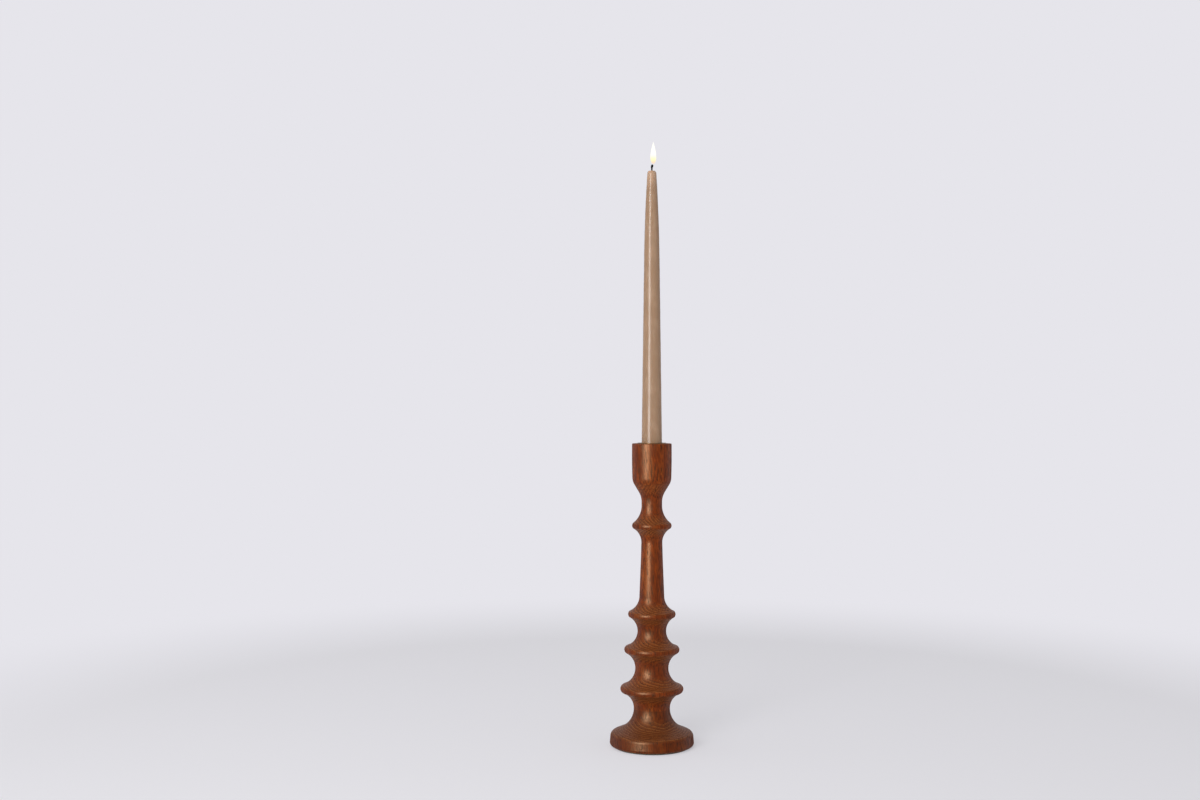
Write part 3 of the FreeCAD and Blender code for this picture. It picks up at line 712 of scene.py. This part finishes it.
def spun_brass(add, finish):
    """Brass spun over a form: pale gold, dull with age, with fine rings left by the tool."""
    across, front, up = add("SeparateXYZ", [in_widths(add, finish.tool_mark)]).node.outputs
    flat = add("CombineXYZ", [across, front])
    radius = add("VectorMath", [flat], "Value", operation="LENGTH")
    track = add("CombineXYZ", [radius, 0, up])
    rings = add("TexNoise", {"Vector": track, "Scale": 1, "Detail": 2})
    tarnish = add("TexNoise", {
        "Vector": in_widths(add, finish.tarnish_width), "Scale": 1, "Detail": 4})
    base = lay_over(add, finish.brass, finish.tarnish, tarnish, 0.35, 0.65, 0.9, 0.3)
    roughness = add("MapRange", [tarnish, 0.3, 0.8, 0.24, 0.45], **SMOOTH)
    relief = add("Bump", {"Height": rings, "Strength": 0.3, "Distance": 0.02 * MM})
    return add("BsdfPrincipled", {
        "Base Color": base, "Metallic": 1.0, "Roughness": roughness, "Normal": relief})


def machined_steel(add, finish, tint, roughness, grain):
    """Steel with marks round its axis, a grain apart, from the lathe, the saw or the plating."""
    marks = add("TexNoise", {"Vector": in_widths(add, grain, (4, 4, 1)), "Scale": 1, "Detail": 3})
    stain = add("TexNoise", {
        "Vector": in_widths(add, finish.stain_width), "Scale": 1, "Detail": 3})
    dark = tuple(part * 0.55 for part in tint)
    base = lay_over(add, tint, dark, stain, 0.45, 0.8, 0.5)
    worn = add("MapRange", [marks, 0.3, 0.7, roughness - 0.06, roughness + 0.08], **SMOOTH)
    relief = add("Bump", {"Height": marks, "Strength": 0.3, "Distance": 0.03 * MM})
    return add("BsdfPrincipled", {
        "Base Color": base, "Metallic": 1.0, "Roughness": worn, "Normal": relief})


def birch_wood(add, finish):
    """Birch dowel rod, planed: pale, even, with fine fibres along it."""
    fibre = add("TexNoise", {
        "Vector": in_widths(add, finish.birch_fibre, (1, 1, 18)), "Scale": 1, "Detail": 3})
    dark = tuple(part * 0.6 for part in finish.birch)
    base = lay_over(add, finish.birch, dark, fibre, 0.4, 0.8, 0.6)
    relief = add("Bump", {"Height": fibre, "Strength": 0.3, "Distance": 0.05 * MM})
    return add("BsdfPrincipled", {
        "Base Color": base, "Roughness": 0.6, "Normal": relief, "IOR": 1.5})


def pressed_felt(add, finish):
    """Pressed wool felt: matt, with a nap of short tangled fibres."""
    tangle = add("TexNoise", {
        "Vector": in_widths(add, finish.felt_nap), "Scale": 1, "Detail": 4, "Roughness": 0.7})
    base = lay_over(add, finish.felt, finish.felt_fibre, tangle, 0.4, 0.7, 1)
    relief = add("Bump", {"Height": tangle, "Strength": 0.9, "Distance": 0.3 * MM})
    return add("BsdfPrincipled", {
        "Base Color": base, "Roughness": 0.95, "Normal": relief, "IOR": 1.5,
        "Sheen Weight": 0.4, "Sheen Roughness": 0.5})


class CANDLESTAND_OT_foot(Operator):
    """Turn the foot with its hollow for the weight and its mortise"""
    bl_idname = "candle_stand.foot"
    bl_label = "Foot"

    def execute(self, context):
        sizes = context.scene.candle_stand_turning
        slope = sizes.foot_top_slope
        height = reach("foot", 1, 2) - reach("foot", 0, 2)
        wall_top = sizes.foot_radius - sizes.foot_wall_draft
        cove_end = sizes.neck_radius + sizes.foot_cove_round * (1 - math.sin(slope))
        cove_end_height = height - sizes.foot_cove_round * math.cos(slope)
        slope_end = wall_top - sizes.foot_shoulder_round * (1 - math.sin(slope))
        slope_end_height = cove_end_height - (slope_end - cove_end) * math.tan(slope)
        shoulder = slope_end_height - sizes.foot_shoulder_round * math.cos(slope)
        mortise = sizes.tenon_radius + sizes.glue_clearance
        tenon_length = reach("foot", 1, 2) - reach("column", 0, 2)
        mortise_floor = height - tenon_length - sizes.mortise_room
        shade = context.scene.candle_stand_wood.foot_shade
        turn_section("foot", [
            (sizes.screw_hole_radius, sizes.recess_depth),
            (sizes.recess_radius, sizes.recess_depth),
            (sizes.recess_radius, 0),
            (sizes.foot_radius - sizes.foot_edge_round, 0),
            (sizes.foot_radius, sizes.foot_edge_round, sizes.foot_edge_round),
            (wall_top, shoulder),
            (slope_end, slope_end_height, shoulder),
            (cove_end, cove_end_height),
            (sizes.neck_radius, height, height),
            (mortise, height),
            (mortise, mortise_floor),
            (sizes.screw_hole_radius, mortise_floor),
        ], flush=(8, 9), board="oiled teak, foot", shade=shade)
        return {"FINISHED"}


class CANDLESTAND_OT_column(Operator):
    """Turn the column with its two rings, its tenon and the holes in its ends"""
    bl_idname = "candle_stand.column"
    bl_label = "Column"

    def execute(self, context):
        sizes = context.scene.candle_stand_turning
        top = reach("column", 1, 2) - reach("column", 0, 2)
        base = reach("foot", 1, 2) - reach("column", 0, 2)
        screw_top = reach("foot_screw", 1, 2) - reach("column", 0, 2) + sizes.screw_room
        lower_waist = base + sizes.lower_waist_height
        upper_waist = base + sizes.upper_waist_height
        upper_edge = bead(sizes, "upper", top + sizes.upper_ring[DROP], upper_waist)[0]
        dowel = reach("column_dowel", 1, 0) + sizes.glue_clearance
        turn_section("column", [
            *reversed(hole(sizes.screw_bore_radius, 0, screw_top)),
            (sizes.tenon_radius - sizes.tenon_chamfer, 0),
            (sizes.tenon_radius, sizes.tenon_chamfer),
            (sizes.tenon_radius, base),
            (sizes.neck_radius, base),
            *bead(sizes, "lower", base + sizes.lower_ring_height, base),
            (sizes.lower_waist_radius, lower_waist, lower_waist),
            *bead(sizes, "middle", base + sizes.middle_ring_height, lower_waist),
            (sizes.upper_waist_radius, upper_waist, upper_waist),
            upper_edge,
            *hole(dowel, top, top - sizes.column_dowel_depth),
        ], flush=(5, 6, 13, 14))
        return {"FINISHED"}


class CANDLESTAND_OT_stem(Operator):
    """Turn the stem with the upper ring at its foot and its long taper"""
    bl_idname = "candle_stand.stem"
    bl_label = "Stem"

    def execute(self, context):
        sizes = context.scene.candle_stand_turning
        top = reach("stem", 1, 2) - reach("stem", 0, 2)
        lower_dowel = reach("column_dowel", 1, 0) + sizes.glue_clearance
        upper_dowel = reach("stem_dowel", 1, 0) + sizes.glue_clearance
        ring_foot, ring_top = bead(sizes, "upper", sizes.upper_ring[DROP], 0)
        neck = top - sizes.stem_flare_rise
        top_edge = bead(sizes, "top", top + sizes.top_ring[DROP], neck)[0]
        turn_section("stem", [
            *reversed(hole(lower_dowel, 0, sizes.column_dowel_depth)),
            ring_foot[:2],
            ring_top,
            (sizes.stem_foot_radius, sizes.stem_foot_height, sizes.stem_foot_height),
            (sizes.stem_head_radius, sizes.stem_head_height),
            (sizes.stem_neck_radius, neck),
            top_edge,
            *hole(upper_dowel, top, top - sizes.stem_dowel_depth),
        ], flush=(2, 3, 8, 9))
        return {"FINISHED"}


class CANDLESTAND_OT_cup(Operator):
    """Turn the cup with its ring, its neck and the socket in its top"""
    bl_idname = "candle_stand.cup"
    bl_label = "Cup"

    def execute(self, context):
        sizes = context.scene.candle_stand_turning
        top = reach("candle_cup", 1, 2) - reach("candle_cup", 0, 2)
        lean = sizes.cup_flare_angle
        neck_top = sizes.cup_neck_height + sizes.cup_neck_length
        flare_end = sizes.cup_neck_radius + sizes.cup_flare_round * (1 - math.cos(lean))
        flare_end_height = neck_top + sizes.cup_flare_round * math.sin(lean)
        swell_start = sizes.cup_shoulder_radius - sizes.cup_shoulder_round * (1 - math.cos(lean))
        swell_start_height = flare_end_height + (swell_start - flare_end) / math.tan(lean)
        shoulder = swell_start_height + sizes.cup_shoulder_round * math.sin(lean)
        dowel = reach("stem_dowel", 1, 0) + sizes.glue_clearance
        ring_foot, ring_top = bead(sizes, "top", sizes.top_ring[DROP], 0)
        turn_section("candle_cup", [
            *reversed(hole(dowel, 0, sizes.stem_dowel_depth)),
            ring_foot[:2],
            ring_top,
            (sizes.cup_neck_radius, sizes.cup_neck_height, sizes.cup_neck_height),
            (sizes.cup_neck_radius, neck_top),
            (flare_end, flare_end_height, neck_top),
            (swell_start, swell_start_height),
            (sizes.cup_shoulder_radius, shoulder, shoulder),
            (sizes.rim_radius, top - sizes.rim_round, sizes.cup_belly_height),
            (sizes.rim_radius - sizes.rim_round, top, top - sizes.rim_round),
            (sizes.socket_radius, top),
            (sizes.socket_radius, top - sizes.socket_depth),
            *hole(sizes.pin_hole_radius, top - sizes.socket_depth, top - sizes.pin_hole_depth),
        ], flush=(2, 3))
        return {"FINISHED"}


class CANDLESTAND_OT_candle(Operator):
    """Make the dipped taper candle with the hole of the pin in its foot"""
    bl_idname = "candle_stand.candle"
    bl_label = "Candle"

    def execute(self, context):
        sizes = context.scene.candle_stand_candle
        low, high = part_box("candle_body")
        top = high.z - low.z
        bore = sizes.wick_radius
        corners = [
            (bore, sizes.pin_hole_depth),
            (sizes.pin_tip_radius + bore, sizes.pin_hole_depth - bore),
            (sizes.pin_hole_radius, sizes.collar_hole_depth),
            (sizes.collar_hole_radius, sizes.collar_hole_depth),
            (sizes.collar_hole_radius, 0),
            (high.x - sizes.foot_chamfer, 0),
            (high.x, sizes.foot_chamfer),
            (high.x, sizes.foot_length),
            (sizes.waist_radius, sizes.waist_height),
            (sizes.shoulder_radius, sizes.shoulder_height, sizes.curve_height),
            (sizes.lip_radius, top, sizes.shoulder_height),
            (sizes.pool_radius, top - sizes.pool_depth),
            (bore, top - sizes.pool_depth),
        ]
        arrises = [HOLE_ARRIS] * 4 + [sizes.arris] * 8 + [HOLE_ARRIS]
        profile = outline(corners, arrises, sizes.point_spacing)
        profile[:, 1] += low.z

        def swell(height, turn):
            """Slow swellings of the dipped wax: two sine waves of height and angle multiplied."""
            wave = 2 * math.pi * height / sizes.ripple_length
            fade = np.clip((height - low.z - sizes.foot_length) / sizes.ripple_length, 0, 1)
            crossing = np.cos(CROSS_RIPPLES * wave - turn)
            return sizes.ripple * fade * np.sin(wave + 2 * turn) * crossing

        add_piece("dipped_candle", lathe(profile, CANDLE_TURNS, swell), "candle",
                  "candle_body", make_material("dyed paraffin wax", dyed_wax))
        return {"FINISHED"}


class CANDLESTAND_OT_wick(Operator):
    """Braid the wick, straight in the wax and bent over where it has burnt"""
    bl_idname = "candle_stand.wick"
    bl_label = "Wick"

    def execute(self, context):
        sizes = context.scene.candle_stand_candle
        low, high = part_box("candle_wick")
        bend = sizes.wick_bend_radius
        sweep = sizes.wick_bend_angle
        radius = sizes.wick_radius
        straight = high.z - low.z - (bend + radius) * math.sin(sweep)
        whole = straight + bend * sweep
        along = np.arange(0, whole, WICK_STEP)[:, None]
        leaning = np.clip((along - straight) / bend, 0, sweep)
        climb = np.minimum(along, straight) + bend * np.sin(leaning)
        aside = bend * (1 - np.cos(leaning))
        turn = np.linspace(0, 2 * math.pi, WICK_TURNS, endpoint=False)[None, :]
        # Strands twisted together, whose burnt end swells into a knob and closes round
        twist = 2 * math.pi * along / sizes.strand_pitch
        groove = np.abs(np.cos(STRANDS / 2 * turn + twist))
        from_end = (whole - along) / radius
        knob = 1 + KNOB_SWELLING * np.exp(-((from_end - KNOB_PLACE) / KNOB_PLACE) ** 2)
        close = np.sqrt(np.clip(from_end * CLOSING, CLOSED, 1))
        reach_out = (radius - sizes.strand_depth * (1 - groove)) * knob * close
        out_x = reach_out * np.cos(turn)
        out_y = reach_out * np.sin(turn)
        points = np.stack([aside + out_x * np.cos(leaning), out_y,
                           low.z + climb - out_x * np.sin(leaning)], axis=-1)
        rows = len(along)
        middles = np.column_stack([aside, 0 * aside, low.z + climb])
        points = points.reshape(-1, 3)
        faces = grid_faces(rows, WICK_TURNS, False)
        points = close_ends(points, faces, rows, WICK_TURNS, middles[0], middles[-1])
        add_piece("braided_wick", (points, faces), "candle", "candle_wick",
                  make_material("burnt cotton wick", burnt_cotton))
        return {"FINISHED"}


class CANDLESTAND_OT_flame(Operator):
    """Light the flame"""
    bl_idname = "candle_stand.flame"
    bl_label = "Flame"

    def execute(self, context):
        sizes = context.scene.candle_stand_candle
        low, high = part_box("candle_flame")
        centre = (low.x + high.x) / 2
        widest = (high.x - low.x) / 2
        # A drop: the radius grows as the root of the height and falls almost straight to the tip
        rise = (1 - np.cos(np.linspace(0, math.pi, FLAME_ROWS))) / 2
        full = sizes.flame_widest_share
        fall = 0.5 * (1 - full) / full
        radius = widest * (rise / full) ** 0.5 * ((1 - rise) / (1 - full)) ** fall
        height = low.z + (high.z - low.z) * rise
        profile = np.column_stack([radius, height])
        profile[[0, -1], 0] = 0
        points, faces = lathe(profile, FLAME_TURNS)
        points[:, 0] += centre
        add_piece("candle_light", (points, faces), "candle", "candle_flame",
                  make_material("candle flame", candle_light))
        return {"FINISHED"}


class CANDLESTAND_OT_hardware(Operator):
    """Give the small metal parts, the dowels and the felt their finishes"""
    bl_idname = "candle_stand.hardware"
    bl_label = "Small parts"

    def execute(self, context):
        finish = context.scene.candle_stand_hardware
        zinc = ("zinc plated steel", machined_steel, finish.zinc, 0.34, finish.plating_mark)
        birch = ("birch dowel", birch_wood)
        for name, (label, build, *values) in {
            "socket_liner": ("spun brass", spun_brass),
            "pricket_pin": (
                "turned steel", machined_steel, finish.bright_steel, 0.28, finish.turning_mark),
            "foot_screw": zinc,
            "screw_washer": zinc,
            "ballast_weight": (
                "sawn mild steel", machined_steel, finish.mill_steel, 0.5, finish.saw_mark),
            "column_dowel": birch,
            "stem_dowel": birch,
            "felt_pad": ("pressed wool felt", pressed_felt),
        }.items():
            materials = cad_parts[name].data.materials
            materials.clear()
            materials.append(make_material(label, build, finish, *values))
        return {"FINISHED"}


class CANDLESTAND_OT_studio(Operator):
    """Set up the floor, the backdrop, the lamps and the camera"""
    bl_idname = "candle_stand.studio"
    bl_label = "Studio"

    def execute(self, context):
        studio = context.scene.candle_stand_studio
        self.make_camera(studio)
        self.make_backdrop(studio)
        self.make_floor(studio)
        self.make_lamps(studio)
        context.scene.view_settings.view_transform = "Standard"
        return {"FINISHED"}

    def make_camera(self, studio):
        """The camera stands in front, level, and looks a little past the stand."""
        camera = bpy.data.cameras.new("camera")
        camera.sensor_width = SENSOR
        camera.lens = studio.focal_length / MM
        camera.clip_end = CLIP_END
        holder = add_object("camera", camera)
        holder.location = (0, -studio.camera_distance, studio.camera_height)
        holder.rotation_euler = (math.pi / 2, 0, studio.camera_turn)
        bpy.context.scene.camera = holder

    def make_backdrop(self, studio):
        """A pale backdrop where it is seen, straight or in a reflection, and softer light."""
        world = bpy.data.worlds.new("studio")
        world.use_nodes = True
        world.node_tree.nodes.clear()
        add = partial(add_node, world.node_tree)
        plain = add("Background", {"Color": studio.backdrop})
        around = add("Background", {"Color": (1, 1, 1), "Strength": studio.ambient})
        both = add("MixShader", [seen_straight(add), around, plain])
        add("OutputWorld", {"Surface": both})
        bpy.context.scene.world = world

    def make_floor(self, studio):
        """A round floor that is lit near the stand and fades into the backdrop further out."""
        turn = np.linspace(0, 2 * math.pi, FLOOR_TURNS, endpoint=False)
        points = FLOOR_RADIUS * np.column_stack([np.cos(turn), np.sin(turn), 0 * turn])
        mesh = bpy.data.meshes.new("floor")
        mesh.from_pydata(points, [], [list(range(FLOOR_TURNS))])
        mesh.materials.append(make_material("pale floor", self.pale_floor, studio))
        add_object("floor", mesh)

    def pale_floor(self, add, studio):
        """Matt paper that fades into the backdrop, which also lifts it where it is seen."""
        place = add("TexCoord", out="Object")
        distance = add("VectorMath", [place], "Value", operation="LENGTH")
        paper = add("BsdfDiffuse", {"Color": studio.floor})
        far = add("Emission", {"Color": studio.backdrop})
        fade = add("MapRange", [distance, studio.floor_lit, studio.floor_gone, 0, 1], **SMOOTH)
        lifted = add("Math", [seen_straight(add), studio.floor_lift], operation="MULTIPLY")
        fade = add("Math", [fade, lifted], operation="MAXIMUM")
        shown = add("MixShader", [fade, paper, far])
        # Under the stand and seen from below it is clear, so that the underside can be looked at
        under = add("Math", [distance, reach("felt_pad", 1, 0)], operation="LESS_THAN")
        behind = add("NewGeometry", out="Backfacing")
        clear = add("Math", [behind, under], operation="MAXIMUM")
        return add("MixShader", [clear, shown, add("BsdfTransparent")])

    def make_lamps(self, studio):
        """A window with a bright strip on the left, and lamps in front, overhead and on the right.

        Each has its place, its width and height, its power, and whether it lights matt surfaces
        and whether it draws highlights.
        """
        left = Vector((-math.sin(studio.key_side), -math.cos(studio.key_side), 0)) * WINDOW_OUT
        window = left + Vector((0, 0, WINDOW_UP))
        for name, place, size, power, lights, shines in (
            ("window", window, (1.1, 1.8), studio.key_power, True, True),
            ("strip", window, (0.9, 1.7), studio.strip_power, False, True),
            ("front lamp", (-0.8, -2.3, 1.0), (1.4, 1.4), studio.front_power, True, False),
            ("overhead lamp", (-0.3, -0.2, 2.2), (1.6, 1.6), studio.top_power, True, False),
            ("right lamp", (2.3, -0.9, 0.8), (0.8, 1.6), studio.fill_power, True, False),
        ):
            light = bpy.data.lights.new(name, "AREA")
            light.shape = "RECTANGLE"
            light.size, light.size_y = size
            light.energy = power
            lamp = add_object(name, light)
            lamp.location = place
            lamp.rotation_euler = (LAMP_AIM - Vector(place)).to_track_quat("-Z", "Y").to_euler()
            lamp.visible_diffuse = lights
            lamp.visible_glossy = shines


class CANDLESTAND_PT_panel(Panel):
    """The steps that make the stand, in their order"""
    bl_idname = "CANDLESTAND_PT_panel"
    bl_label = "Candle Stand"
    bl_space_type = "VIEW_3D"
    bl_region_type = "UI"
    bl_category = "Candle Stand"

    def draw(self, context):
        for operator in OPERATORS:
            self.layout.operator(operator.bl_idname)


OPERATORS = (
    CANDLESTAND_OT_studio,
    CANDLESTAND_OT_foot,
    CANDLESTAND_OT_column,
    CANDLESTAND_OT_stem,
    CANDLESTAND_OT_cup,
    CANDLESTAND_OT_candle,
    CANDLESTAND_OT_wick,
    CANDLESTAND_OT_flame,
    CANDLESTAND_OT_hardware,
)
SETTINGS = {
    "candle_stand_turning": TurningSizes,
    "candle_stand_candle": CandleSizes,
    "candle_stand_wood": WoodFinish,
    "candle_stand_candle_finish": CandleFinish,
    "candle_stand_hardware": HardwareFinish,
    "candle_stand_studio": StudioSettings,
}
CLASSES = (*SETTINGS.values(), *OPERATORS, CANDLESTAND_PT_panel)


def register():
    for part in CLASSES:
        bpy.utils.register_class(part)
    for name, group in SETTINGS.items():
        setattr(bpy.types.Scene, name, PointerProperty(type=group))


def unregister():
    for name in SETTINGS:
        delattr(bpy.types.Scene, name)
    for part in reversed(CLASSES):
        bpy.utils.unregister_class(part)


def main():
    """Registers the add-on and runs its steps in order."""
    register()
    for operator in OPERATORS:
        group, name = operator.bl_idname.split(".")
        getattr(getattr(bpy.ops, group), name)()


if __name__ == "__main__":
    main()
